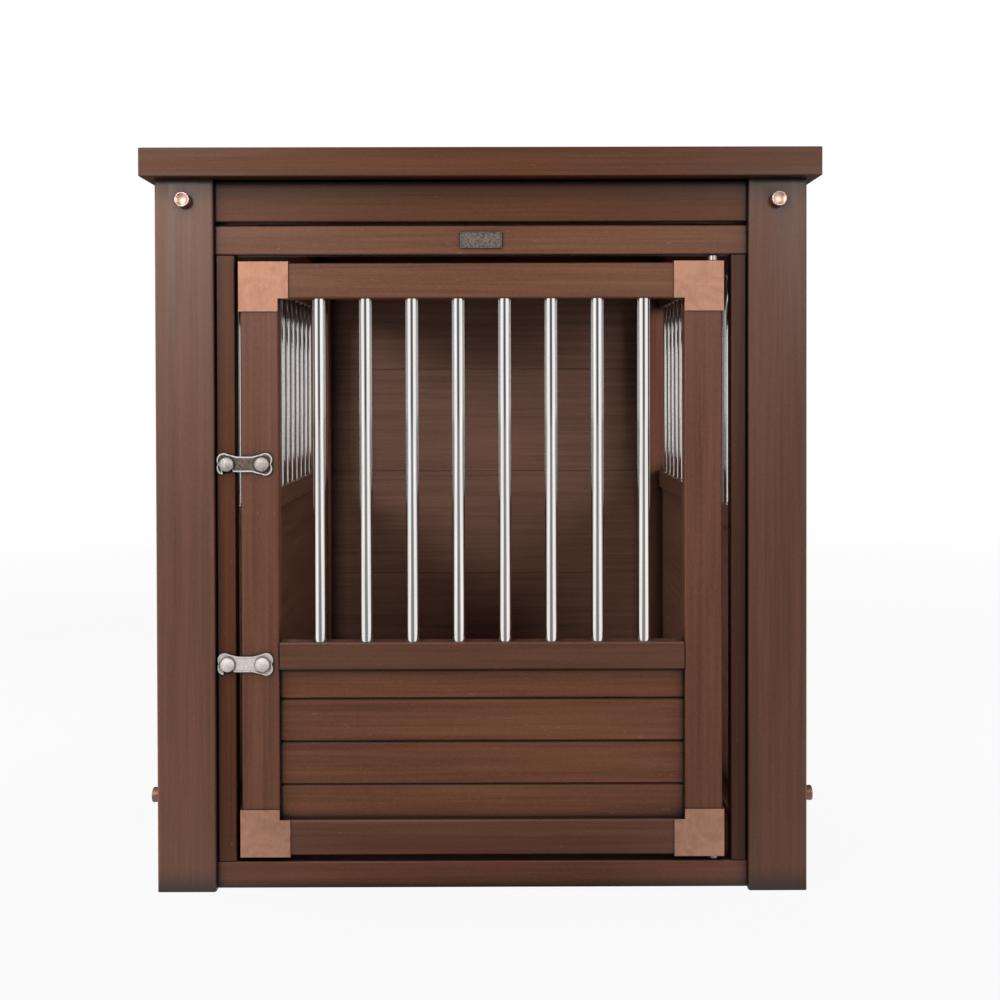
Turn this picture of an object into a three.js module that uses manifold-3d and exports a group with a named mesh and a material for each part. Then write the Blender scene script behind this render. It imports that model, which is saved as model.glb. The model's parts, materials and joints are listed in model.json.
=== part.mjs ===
// Dog crate end table: a furniture-style crate of wood composite boards and steel bars under a table top.
// Millimetres, +Z up, the front faces -Y, and the origin is on the floor under the middle of the table top.
import * as THREE from "three";
import { mergeVertices } from "three/addons/utils/BufferGeometryUtils.js";
import Module from "manifold-3d";

const wasm = await Module();
wasm.setup();

// Overall sizes
const tableWidth = 781;
const tableDepth = 1086;
const tableHeight = 861;

// Table top
const topThickness = 33;
const frontOverhang = 20;
const sideOverhang = 12.5;
const rearOverhang = 12.5;
const edgeRailWidth = 51; // in plan, with its ledge
const ledgeWidth = 12;
const topBoardThickness = 12;
const topBoardCount = 5;
const topBoardEase = 1.2;

// Posts and rails
const postSize = 68;
const postWall = 7;
const postCorner = 3;
const hollowCorner = 1;
const railThickness = 22;
const railCorner = 2.5;
const groundGap = 1; // the rails clear the floor, the posts stand on it
const sillTop = 32.5;
const frontRecess = 8; // front frame behind the post faces
const apronHeight = 49;
const apronGap = 3.8;
const headerHeight = 34.5;
const middleRailHeight = 32.5;
const grooveDepth = 13.5;
const grooveMargin = 0.4;
const latchJambWidth = 23;
const hingeJambWidth = 19;
const sideWindowBottom = 424.5;
const sideLineDepth = 6; // the line along the side top rails, level with the gap over the header

// Slatted boards
const boardThickness = 10;
const slatPitch = 50.4;
const slatsPerBoard = 4;
const slatGrooveDepth = 2.4;
const slatGrooveWidth = 4.4;
const seamDepth = 1;
const rearWallRecess = 24;

// Floor
const floorThickness = 10;
const floorLedgeWidth = 12;
const floorLedgeHeight = 12;

// Door
const latchGap = 4;
const hingeGap = 8;
const doorTopGap = 7;
const doorBottomGap = 5;
const doorThickness = 20;
const stileWidth = 44.2;
const doorRailHeight = 41.5;
const doorCorner = 2.5;
const middleRailTop = 289;
const doorPanelRecess = 7;

// Bars
const barDiameter = 15;
const barWall = 1;
const barSides = 12;
const boreSides = 8;
const doorBarCount = 8;
const sideBarCount = 18;
const barInsert = 12;
const stripThickness = 2; // the strips that join the ends of the bars inside the rails
const stripMargin = 0.5; // the strips are wider than the bars by this much each side

// Corner brackets
const bracketSize = 58.5;
const lowBracketHeight = 55.5;
const bracketFace = 1.2;
const bracketWrap = 1.6;

// Door pivots
const pivotInset = 11.5; // from the door's outer edge
const pivotDiameter = 8;
const pivotDoorDepth = 25;
const pivotFrameDepth = 14;
const pivotClearance = 0.4;
const collarDiameter = 13;
const pinEase = 0.6;
const pinSides = 12;
const holeSides = 8;

// Latches
const latchPivotInset = 27.5; // from the door's outer edge
const knobSpacing = 41;
const latchThickness = 2.5;
const knuckleRadius = 8;
const knuckleRise = 5.1; // from the latch's middle line
const knuckleReach = 3.8; // beyond the knob
const notchAngle = 36; // degrees from level at which a pair of knuckles meets
const shoulderAngle = 122.4; // degrees from level at which a knuckle runs into the waist
const waistHalf = 8.9;
const waistRun = 12; // from a knob to the end of the waist's straight edge
const hookDrop = 4.1; // the knuckle beyond the slot is this far below the middle line
const hookAngle = 75; // degrees below level at which that knuckle ends
const hookEase = 0.9;
const latchCurveSteps = 3;
const catchShank = 10;
const slotClearance = 0.8;
const latchKnobDiameter = 16.7;
const latchKnobHeight = 6;
const latchNeckInset = 1;
const studDiameter = 6;
const studLength = 15;
const upperLatchHeight = 497.5;
const lowerLatchHeight = 264;

// Knob bolts
const boltHeadDiameter = 17.5;
const boltHeadHeight = 9;
const boltDish = 1.6;
const boltRim = 1;
const boltEase = 0.8;
const boltTaper = 0.6;
const boltShank = 6;
const boltGrip = 16;
const lowBoltHeight = 108;
const knobSides = 14;

// Dome of the latch knobs and catch knobs: share of the radius, and share of the height below the crown
const domeSection = [[0, 0], [0.5, 0.06], [0.83, 0.25], [1, 0.5]];

// Blank plate on the header
const plateWidth = 49;
const plateHeight = 19;
const plateThickness = 1.5;
const plateCorner = 1.5;

const seat = 0.3; // gap between pieces that touch
const overshoot = 1; // a shape that cuts passes the faces that it cuts by this much

// Levels and planes worked out from the sizes above
const underside = tableHeight - topThickness;
const frontPlane = -tableDepth / 2 + frontOverhang;
const rearPlane = tableDepth / 2 - rearOverhang;
const bodyCentre = (frontPlane + rearPlane) / 2;
const postOuter = tableWidth / 2 - sideOverhang;
const postInner = postOuter - postSize;
const postMiddle = postOuter - postSize / 2;
const sideLength = rearPlane - frontPlane - 2 * postSize;
const apronBottom = underside - apronHeight;
const headerTop = apronBottom - apronGap;
const headerBottom = headerTop - headerHeight;
const frameFront = frontPlane + frontRecess;
const frameMiddle = frameFront + railThickness / 2;
const openingLeft = -postInner + latchJambWidth;
const openingRight = postInner - hingeJambWidth;
const doorLeft = openingLeft + latchGap;
const doorRight = openingRight - hingeGap;
const doorBottom = sillTop + doorBottomGap;
const doorTop = headerBottom - doorTopGap;
const doorMiddle = frameFront + doorThickness / 2;
const wrap = bracketWrap + seat; // the wood stands in from the brackets by this much
const windowLeft = doorLeft + wrap + stileWidth;
const windowRight = doorRight - wrap - stileWidth;
const doorWindowTop = doorTop - wrap - doorRailHeight;
const doorPanelTop = doorBottom + wrap + doorRailHeight;
const boardHeight = slatPitch * slatsPerBoard;
const boardBase = sillTop - grooveDepth + seat; // bottom edge of the lowest boards
const grooveWidth = boardThickness + 2 * grooveMargin;
const rearBoardMiddle = rearPlane - rearWallRecess - boardThickness / 2;
const apronMiddle = underside - apronHeight / 2;
const pivotX = doorRight - pivotInset;
const latchX = doorLeft + latchPivotInset;

const board = new THREE.MeshStandardMaterial({ color: 0x6b4a3d, roughness: 0.62, metalness: 0 });
const doorBoard = new THREE.MeshStandardMaterial({ color: 0x664538, roughness: 0.6, metalness: 0 });
const steel = new THREE.MeshStandardMaterial({ color: 0xd0cdca, roughness: 0.25, metalness: 1 });
const nickel = new THREE.MeshStandardMaterial({ color: 0xbdb6ae, roughness: 0.4, metalness: 1 });
const copper = new THREE.MeshStandardMaterial({ color: 0xb97b62, roughness: 0.42, metalness: 1 });

function toSolid(geometry) {
  const bare = geometry.clone();
  bare.deleteAttribute("normal");
  bare.deleteAttribute("uv");
  const merged = mergeVertices(bare, 1e-4);
  return new wasm.Manifold(
    new wasm.Mesh({
      numProp: 3,
      vertProperties: merged.attributes.position.array,
      triVerts: new Uint32Array(merged.index.array),
    }),
  );
}

function toGeometry(solid) {
  const mesh = solid.getMesh();
  return new THREE.BufferGeometry()
    .setAttribute("position", new THREE.BufferAttribute(mesh.vertProperties, 3))
    .setIndex(new THREE.BufferAttribute(mesh.triVerts, 1));
}

// A closed block between two opposite corners
function block(from, to) {
  const low = from.map((value, i) => Math.min(value, to[i]));
  const size = from.map((value, i) => Math.abs(value - to[i]));
  const geometry = new THREE.BoxGeometry(...size);
  geometry.translate(...low.map((value, i) => value + size[i] / 2));
  return toSolid(geometry);
}

// A round rod along X, Y or Z, its middle at the given point
function rod(diameter, length, axis, centre, sides) {
  const geometry = new THREE.CylinderGeometry(diameter / 2, diameter / 2, length, sides);
  if (axis === "x") geometry.rotateZ(-Math.PI / 2);
  if (axis === "z") geometry.rotateX(Math.PI / 2);
  geometry.translate(...centre);
  return toSolid(geometry);
}

// A cutter for a round hole, whose flats keep the given gap all round what goes in it
function bore(diameter, gap, length, axis, centre) {
  return rod((diameter + 2 * gap) / Math.cos(Math.PI / holeSides), length, axis, centre, holeSides);
}

function roundedRectangle(width, height, radius) {
  const x = width / 2 - radius;
  const y = height / 2 - radius;
  const shape = new THREE.Shape();
  shape.absarc(x, y, radius, 0, Math.PI / 2, false);
  shape.absarc(-x, y, radius, Math.PI / 2, Math.PI, false);
  shape.absarc(-x, -y, radius, Math.PI, 1.5 * Math.PI, false);
  shape.absarc(x, -y, radius, 1.5 * Math.PI, 2 * Math.PI, false);
  return shape;
}

function extrudeCentred(shape, length, curveSegments = 1) {
  const geometry = new THREE.ExtrudeGeometry(shape, { depth: length, bevelEnabled: false, curveSegments });
  geometry.translate(0, 0, -length / 2);
  return geometry;
}

// Turns a section drawn across Y and Z, and extruded along its third axis, so that it runs along X
function runAlongX(geometry) {
  const turn = new THREE.Matrix4().makeBasis(
    new THREE.Vector3(0, 1, 0),
    new THREE.Vector3(0, 0, 1),
    new THREE.Vector3(1, 0, 0),
  );
  return geometry.applyMatrix4(turn);
}

// A rail along X: its thickness across Y and its height up Z from the given bottom
function rail(length, thickness, bottom, top, corner) {
  const section = roundedRectangle(thickness, top - bottom, corner);
  const geometry = runAlongX(extrudeCentred(section, length));
  geometry.translate(0, 0, (bottom + top) / 2);
  return toSolid(geometry);
}

// An upright member: width across X, thickness across Y
function upright(width, thickness, bottom, top, corner) {
  const geometry = extrudeCentred(roundedRectangle(width, thickness, corner), top - bottom);
  geometry.translate(0, 0, (bottom + top) / 2);
  return toSolid(geometry);
}

// The slot along a rail that holds the edge of a board, from one level to another
function boardGroove(length, from, to, y = 0) {
  const half = grooveWidth / 2;
  const reach = length / 2 + overshoot;
  return block([-reach, y - half, from], [reach, y + half, to]);
}

// Boards along X with V lines on the outer face at each slat, and a fine seam inside where two boards meet
function slattedBoards(length, bottom, top, seams = false) {
  const outer = -boardThickness / 2;
  const inner = boardThickness / 2;
  const half = slatGrooveWidth / 2;
  const lines = [];
  for (let i = 0; boardBase + i * slatPitch < top + half; i += 1) {
    const level = boardBase + i * slatPitch;
    if (level > bottom - half) lines.push({ level, seam: seams && i % slatsPerBoard === 0 });
  }
  const section = new THREE.Shape();
  const inside = (level) => level > bottom + half && level < top - half;
  const eased = (end) => lines.some((line) => Math.abs(line.level - end) < half);
  section.moveTo(outer + (eased(bottom) ? slatGrooveDepth : 0), bottom);
  if (eased(bottom)) section.lineTo(outer, bottom + half);
  for (const { level } of lines.filter((line) => inside(line.level))) {
    section.lineTo(outer, level - half);
    section.lineTo(outer + slatGrooveDepth, level);
    section.lineTo(outer, level + half);
  }
  if (eased(top)) section.lineTo(outer, top - half);
  section.lineTo(outer + (eased(top) ? slatGrooveDepth : 0), top);
  section.lineTo(inner, top);
  for (const { level } of lines.filter((line) => line.seam && inside(line.level)).reverse()) {
    section.lineTo(inner, level + seamDepth);
    section.lineTo(inner - seamDepth, level);
    section.lineTo(inner, level - seamDepth);
  }
  section.lineTo(inner, bottom);
  section.closePath();
  return runAlongX(extrudeCentred(section, length));
}

// A row of tubes whose ends are joined by two strips, and the space that they need inside the rails.
// The row runs along X with its first and last gap equal to the rest.
function barRow(count, opening, bottom, top) {
  const pitch = (opening + barDiameter) / (count + 1);
  const centres = Array.from({ length: count }, (_, i) => (i - (count - 1) / 2) * pitch);
  const middle = (bottom + top) / 2;
  const height = top - bottom + 2 * barInsert;
  const rods = (diameter, length, sides) =>
    centres.map((x) => rod(diameter, length, "z", [x, 0, middle], sides));
  const half = barDiameter / 2 + stripMargin;
  const strips = (margin, reach) =>
    [-1, 1].map((end) =>
      block(
        [-reach, -half - margin, middle + end * (height / 2 + margin)],
        [reach, half + margin, middle + end * (height / 2 - stripThickness - margin)],
      ),
    );
  const joined = wasm.Manifold.union([
    ...rods(barDiameter, height - stripThickness, barSides),
    ...strips(0, centres[count - 1] + half),
  ]);
  const bores = wasm.Manifold.union(rods(barDiameter - 2 * barWall, height + 2 * overshoot, boreSides));
  const space = wasm.Manifold.union([
    ...rods(barDiameter + 2 * seat, height - stripThickness, barSides),
    ...strips(seat, opening / 2 + barInsert),
  ]);
  return { bars: joined.subtract(bores), space };
}

function piece(name, shape, material, place = [0, 0, 0]) {
  const geometry = shape.isBufferGeometry ? shape : toGeometry(shape);
  geometry.computeVertexNormals();
  const mesh = new THREE.Mesh(geometry, material);
  mesh.name = name;
  mesh.position.set(...place);
  return mesh;
}

// Table top: four mitred edge rails with a ledge, and boards laid across on the ledges
function edgeRail(name, length, turn, place) {
  const body = rail(length, edgeRailWidth, underside, tableHeight, railCorner);
  const half = edgeRailWidth / 2;
  const rebate = block(
    [-length, half - ledgeWidth, tableHeight - topBoardThickness - seat],
    [length, edgeRailWidth, tableHeight + overshoot],
  );
  const mitres = [-1, 1].map((side) => {
    const corner = new THREE.Shape();
    const end = length / 2 - seat;
    corner.moveTo(side * (end + overshoot), -half - overshoot);
    corner.lineTo(side * (end + edgeRailWidth), -half - overshoot);
    corner.lineTo(side * (end + edgeRailWidth), half + overshoot);
    corner.lineTo(side * (end - edgeRailWidth - overshoot), half + overshoot);
    corner.closePath();
    const wedge = extrudeCentred(corner, tableHeight);
    wedge.translate(0, 0, tableHeight);
    return toSolid(wedge);
  });
  const mesh = piece(name, body.subtract(rebate).subtract(mitres[0]).subtract(mitres[1]), board, place);
  mesh.rotation.z = turn;
  return mesh;
}

function tableTop() {
  const top = new THREE.Group();
  const sideX = (tableWidth - edgeRailWidth) / 2;
  const endY = (tableDepth - edgeRailWidth) / 2;
  top.add(
    edgeRail("tabletop_front_edge", tableWidth, 0, [0, -endY, 0]),
    edgeRail("tabletop_rear_edge", tableWidth, Math.PI, [0, endY, 0]),
    edgeRail("tabletop_left_edge", tableDepth, -Math.PI / 2, [-sideX, 0, 0]),
    edgeRail("tabletop_right_edge", tableDepth, Math.PI / 2, [sideX, 0, 0]),
  );
  const margin = 2 * (edgeRailWidth - ledgeWidth + seat);
  const pitch = (tableDepth - margin + seat) / topBoardCount;
  const half = (pitch - seat) / 2;
  const low = tableHeight - topBoardThickness;
  for (let i = 0; i < topBoardCount; i += 1) {
    const section = new THREE.Shape();
    section.moveTo(-half, low);
    section.lineTo(half, low);
    section.lineTo(half, tableHeight - topBoardEase);
    section.lineTo(half - topBoardEase, tableHeight);
    section.lineTo(-half + topBoardEase, tableHeight);
    section.lineTo(-half, tableHeight - topBoardEase);
    section.closePath();
    const plank = runAlongX(extrudeCentred(section, tableWidth - margin));
    const y = (i - (topBoardCount - 1) / 2) * pitch;
    top.add(piece(`tabletop_board_${i + 1}`, plank, board, [0, y, 0]));
  }
  return top;
}

// Hollow posts with a hole for a bolt from the front or back near the top, and one from the side below
function posts() {
  const group = new THREE.Group();
  const ends = [
    { end: "front", y: frontPlane + postSize / 2, sideBolt: frameMiddle },
    { end: "rear", y: rearPlane - postSize / 2, sideBolt: rearBoardMiddle },
  ];
  const height = underside - seat;
  const hollow = postSize - 2 * postWall;
  const across = postSize + 2 * overshoot;
  for (const { end, y, sideBolt } of ends) {
    for (const [side, x] of [["left", -postMiddle], ["right", postMiddle]]) {
      const body = upright(postSize, postSize, 0, height, postCorner)
        .subtract(upright(hollow, hollow, -overshoot, height + overshoot, hollowCorner))
        .subtract(bore(boltShank, seat, across, "y", [0, 0, apronMiddle]))
        .subtract(bore(boltShank, seat, across, "x", [0, sideBolt - y, lowBoltHeight]));
      group.add(piece(`${end}_${side}_post`, body, board, [x, y, 0]));
    }
  }
  return group;
}

// A hole along Z for a door pivot, going in from a level of a frame piece
function pivotSocket(level, side) {
  const depth = pivotFrameDepth + seat;
  const centre = [pivotX, doorMiddle - frameMiddle, level + (side * (depth - overshoot)) / 2];
  return bore(pivotDiameter, pivotClearance, depth + overshoot, "z", centre);
}

// A hole along Y for a stud, going in from the front face of a member
function studSocket(x, z, face) {
  const depth = studLength + seat;
  return bore(studDiameter, seat, depth + overshoot, "y", [x, face + (depth - overshoot) / 2, z]);
}

// A hole along X for the tip of a knob bolt, going in from one end of a piece
function boltSocket(end, y, z) {
  const depth = boltGrip + seat;
  const centre = end - (Math.sign(end) * (depth - overshoot)) / 2;
  return bore(boltShank, seat, depth + overshoot, "x", [centre, y, z]);
}

// Front frame: apron, header, sill and the two jambs beside the door, and the blank plate on the header
function frontFrame() {
  const frame = new THREE.Group();
  const length = 2 * (postInner - seat);
  const face = -railThickness / 2;
  const apron = rail(length, railThickness, apronBottom, underside - seat, railCorner);
  const header = rail(length, railThickness, headerBottom, headerTop, railCorner);
  const sill = rail(length, railThickness, groundGap, sillTop, railCorner);
  const jamb = (width) =>
    upright(width - seat, railThickness, sillTop + seat, headerBottom - seat, railCorner);
  const latchJambX = -postInner + (latchJambWidth + seat) / 2;
  const hingeJambX = postInner - (hingeJambWidth + seat) / 2;
  const catchX = latchX - knobSpacing - latchJambX;
  const latchJamb = jamb(latchJambWidth)
    .subtract(studSocket(catchX, upperLatchHeight, face))
    .subtract(studSocket(catchX, lowerLatchHeight, face))
    .subtract(boltSocket(-(latchJambWidth - seat) / 2, 0, lowBoltHeight));
  const hingeJamb = jamb(hingeJambWidth).subtract(boltSocket((hingeJambWidth - seat) / 2, 0, lowBoltHeight));
  const blank = extrudeCentred(roundedRectangle(plateWidth, plateHeight, plateCorner), plateThickness);
  blank.rotateX(Math.PI / 2);
  const blankY = frameFront - seat - plateThickness / 2;
  frame.add(
    piece("front_apron", apron, board, [0, frameMiddle, 0]),
    piece("front_header", header.subtract(pivotSocket(headerBottom, 1)), board, [0, frameMiddle, 0]),
    piece("front_sill", sill.subtract(pivotSocket(sillTop, -1)), board, [0, frameMiddle, 0]),
    piece("latch_jamb", latchJamb, board, [latchJambX, frameMiddle, 0]),
    piece("hinge_jamb", hingeJamb, board, [hingeJambX, frameMiddle, 0]),
    piece("header_blank_plate", blank, nickel, [0, blankY, (headerBottom + headerTop) / 2]),
  );
  return frame;
}

// Side wall, drawn with its outer face towards -Y and then turned to its side of the crate
function sideWall(side, turn, x) {
  const wall = new THREE.Group();
  const length = sideLength - 2 * seat;
  const inner = railThickness / 2;
  const middleBottom = sideWindowBottom - middleRailHeight;
  const { bars, space } = barRow(sideBarCount, sideLength, sideWindowBottom, headerBottom);
  const ledge = block(
    [-length / 2, inner - 2 * railCorner, groundGap],
    [length / 2, inner + floorLedgeWidth, floorLedgeHeight],
  );
  const bottomRail = rail(length, railThickness, groundGap, sillTop, railCorner)
    .add(ledge)
    .subtract(boardGroove(length, boardBase - seat, sillTop + overshoot));
  const middleRail = rail(length, railThickness, middleBottom, sideWindowBottom, railCorner)
    .subtract(boardGroove(length, middleBottom - overshoot, middleBottom + grooveDepth))
    .subtract(space);
  const line = block([-length, -inner - overshoot, headerTop], [length, -inner + sideLineDepth, apronBottom]);
  const topRail = rail(length, railThickness, headerBottom, underside - seat, railCorner)
    .subtract(line)
    .subtract(space)
    .subtract(boltSocket(-length / 2, 0, apronMiddle))
    .subtract(boltSocket(length / 2, 0, apronMiddle));
  const boards = slattedBoards(length, boardBase, middleBottom + grooveDepth - seat, true);
  wall.add(
    piece(`${side}_top_rail`, topRail, board),
    piece(`${side}_middle_rail`, middleRail, board),
    piece(`${side}_bottom_rail`, bottomRail, board),
    piece(`${side}_lower_boards`, boards, board),
    piece(`${side}_window_bars`, bars, steel),
  );
  wall.rotation.z = turn;
  wall.position.set(x, bodyCentre, 0);
  return wall;
}

// Rear wall: slatted boards one above another on a grooved bottom rail
function rearWall() {
  const wall = new THREE.Group();
  const length = 2 * (postInner - seat);
  const bottomRail = rail(length, railThickness, groundGap, sillTop, railCorner)
    .subtract(boardGroove(length, boardBase - seat, sillTop + overshoot));
  wall.add(piece("rear_bottom_rail", bottomRail, board));
  const count = Math.floor((underside - boardBase) / boardHeight);
  for (let i = 0; i < count; i += 1) {
    const bottom = boardBase + i * boardHeight;
    const top = (i === count - 1 ? underside : bottom + boardHeight) - seat;
    let plank = toSolid(slattedBoards(length, bottom, top));
    if (lowBoltHeight > bottom && lowBoltHeight < top) {
      plank = plank
        .subtract(boltSocket(-length / 2, 0, lowBoltHeight))
        .subtract(boltSocket(length / 2, 0, lowBoltHeight));
    }
    wall.add(piece(`rear_board_${i + 1}`, plank, board));
  }
  wall.rotation.z = Math.PI;
  wall.position.y = rearBoardMiddle;
  return wall;
}

// Floor panel, notched round the posts and resting on the ledges of the side walls' bottom rails
function floorPanel() {
  const wingX = postMiddle - railThickness / 2 - seat;
  const waistX = postInner - seat;
  const front = frameFront + railThickness + seat;
  const rear = rearBoardMiddle - railThickness / 2 - seat;
  const frontNotch = frontPlane + postSize + seat;
  const rearNotch = rearPlane - postSize - seat;
  const rightHalf = [[waistX, front], [waistX, frontNotch], [wingX, frontNotch], [wingX, rearNotch],
    [waistX, rearNotch], [waistX, rear]];
  const leftHalf = rightHalf.map(([x, y]) => [-x, y]).reverse();
  const outline = new THREE.Shape([...rightHalf, ...leftHalf].map(([x, y]) => new THREE.Vector2(x, y)));
  const panel = extrudeCentred(outline, floorThickness);
  return piece("floor_panel", panel, board, [0, 0, floorLedgeHeight + seat + floorThickness / 2]);
}

// A turned piece: its profile runs from tip to head as radius and distance along Y
function turned(profile, sides) {
  return new THREE.LatheGeometry(profile.map(([radius, y]) => new THREE.Vector2(radius, y)), sides);
}

// The low domed head that the latch knobs and catch knobs share, from its crown to its back face
function domedHead(back) {
  const radius = latchKnobDiameter / 2;
  const dome = domeSection.map(([out, down]) => [out * radius, back - (1 - down) * latchKnobHeight]);
  return [...dome, [radius, back]];
}

function catchKnob(name, z) {
  const head = -2 * seat - latchThickness;
  const profile = [
    ...domedHead(head),
    [catchShank / 2, head],
    [catchShank / 2, -seat],
    [studDiameter / 2, -seat],
    [studDiameter / 2, studLength],
    [0, studLength],
  ];
  return piece(name, turned(profile, knobSides), nickel, [latchX - knobSpacing, frameFront, z]);
}

// A knob bolt with a dished head, its shank through the post into the piece beyond
function knobBolt(name, turn, place) {
  const radius = boltHeadDiameter / 2;
  const face = -seat - boltHeadHeight;
  const tip = postSize + boltGrip;
  const profile = [
    [0, face + boltDish],
    [radius - boltEase - boltRim, face],
    [radius - boltEase, face],
    [radius, face + boltEase],
    [radius - boltTaper, -seat],
    [boltShank / 2, -seat],
    [boltShank / 2, tip],
    [0, tip],
  ];
  const mesh = piece(name, turned(profile, knobSides), copper, place);
  mesh.rotation.z = turn;
  return mesh;
}

// High bolts go in through the front and rear faces of the posts, low ones through their side faces
function knobBolts() {
  const group = new THREE.Group();
  const ends = [
    { end: "front", turn: 0, face: frontPlane, sideBolt: frameMiddle },
    { end: "rear", turn: Math.PI, face: rearPlane, sideBolt: rearBoardMiddle },
  ];
  for (const { end, turn, face, sideBolt } of ends) {
    for (const [side, sign] of [["left", -1], ["right", 1]]) {
      const outwards = (sign * Math.PI) / 2;
      group.add(
        knobBolt(`${end}_${side}_high_bolt`, turn, [sign * postMiddle, face, apronMiddle]),
        knobBolt(`${end}_${side}_low_bolt`, outwards, [sign * postOuter, sideBolt, lowBoltHeight]),
      );
    }
  }
  return group;
}

// A folded corner bracket: an L-shaped face and two edges wrapped over the door's outer sides
function cornerBracket(name, across, up, x, z, hinged) {
  const size = [across * bracketSize, up < 0 ? -bracketSize : lowBracketHeight];
  const stileCover = across * (wrap + stileWidth);
  const railCover = up * (wrap + doorRailHeight);
  const corners = [[0, 0], [size[0], 0], [size[0], railCover], [stileCover, railCover], [stileCover, size[1]],
    [0, size[1]]];
  const outline = new THREE.Shape(corners.map(([u, v]) => new THREE.Vector2(u, v)));
  const face = extrudeCentred(outline, bracketFace);
  face.rotateX(Math.PI / 2);
  face.translate(0, -doorThickness / 2 - seat - bracketFace / 2, 0);
  const front = -doorThickness / 2 - seat - bracketFace;
  let body = toSolid(face)
    .add(block([0, front, 0], [across * bracketWrap, doorThickness / 2, size[1]]))
    .add(block([0, front, 0], [size[0], doorThickness / 2, up * bracketWrap]));
  if (hinged) {
    body = body.subtract(bore(pivotDiameter, seat, 2 * (bracketWrap + overshoot), "z", [-pivotInset, 0, 0]));
  }
  return piece(name, body, copper, [x, 0, z]);
}

// A pivot pin fixed in the hinge stile, with a collar in the gap and its free end in the frame
function pivotPin(name, level, gap, up) {
  const radius = pivotDiameter / 2;
  const profile = [
    [0, -pivotDoorDepth],
    [radius - pinEase, -pivotDoorDepth],
    [radius, -pivotDoorDepth + pinEase],
    [radius, seat],
    [collarDiameter / 2, seat],
    [collarDiameter / 2, gap - seat],
    [radius, gap - seat],
    [radius, gap + pivotFrameDepth - pinEase],
    [radius - pinEase, gap + pivotFrameDepth],
    [0, gap + pivotFrameDepth],
  ];
  const pin = turned(profile, pinSides);
  pin.rotateX((up * Math.PI) / 2);
  return piece(name, pin, steel, [pivotX, 0, level]);
}

function door() {
  const group = new THREE.Group();
  const woodBottom = doorBottom + wrap;
  const woodTop = doorTop - wrap;
  const middle = (windowLeft + windowRight) / 2;
  const opening = windowRight - windowLeft;
  const length = opening - 2 * seat;
  const face = -doorThickness / 2;
  const panelY = face + doorPanelRecess + boardThickness / 2;
  const middleRailBottom = middleRailTop - middleRailHeight;
  const { bars, space } = barRow(doorBarCount, opening, middleRailTop, doorWindowTop);

  const stile = () => upright(stileWidth, doorThickness, woodBottom, woodTop, doorCorner);
  const latchStileX = windowLeft - stileWidth / 2;
  const hingeStileX = windowRight + stileWidth / 2;
  const latchStile = stile()
    .subtract(studSocket(latchX - latchStileX, upperLatchHeight, face))
    .subtract(studSocket(latchX - latchStileX, lowerLatchHeight, face));
  const pinHole = (level) =>
    bore(pivotDiameter, seat, 2 * (pivotDoorDepth + seat), "z", [pivotX - hingeStileX, 0, level]);
  const hingeStile = stile().subtract(pinHole(doorTop)).subtract(pinHole(doorBottom));

  const doorRail = (bottom, top) => rail(length, doorThickness, bottom, top, doorCorner);
  const topRail = doorRail(doorWindowTop, woodTop).subtract(space);
  const middleRail = doorRail(middleRailBottom, middleRailTop)
    .subtract(space)
    .subtract(boardGroove(length, middleRailBottom - overshoot, middleRailBottom + grooveDepth, panelY));
  const bottomRail = doorRail(woodBottom, doorPanelTop)
    .subtract(boardGroove(length, doorPanelTop - grooveDepth, doorPanelTop + overshoot, panelY));
  const panelBottom = doorPanelTop - grooveDepth + seat;
  const panel = slattedBoards(length, panelBottom, middleRailBottom + grooveDepth - seat);

  group.add(
    piece("door_latch_stile", latchStile, doorBoard, [latchStileX, 0, 0]),
    piece("door_hinge_stile", hingeStile, doorBoard, [hingeStileX, 0, 0]),
    piece("door_top_rail", topRail, doorBoard, [middle, 0, 0]),
    piece("door_middle_rail", middleRail, doorBoard, [middle, 0, 0]),
    piece("door_bottom_rail", bottomRail, doorBoard, [middle, 0, 0]),
    piece("door_slatted_panel", panel, doorBoard, [middle, panelY, 0]),
    piece("door_bars", bars, steel, [middle, 0, 0]),
    cornerBracket("upper_latch_side_bracket", 1, -1, doorLeft, doorTop, false),
    cornerBracket("lower_latch_side_bracket", 1, 1, doorLeft, doorBottom, false),
    cornerBracket("upper_hinge_side_bracket", -1, -1, doorRight, doorTop, true),
    cornerBracket("lower_hinge_side_bracket", -1, 1, doorRight, doorBottom, true),
    pivotPin("upper_pivot_pin", doorTop, doorTopGap, 1),
    pivotPin("lower_pivot_pin", doorBottom, doorBottomGap, -1),
  );
  group.position.y = doorMiddle;
  return group;
}

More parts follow.
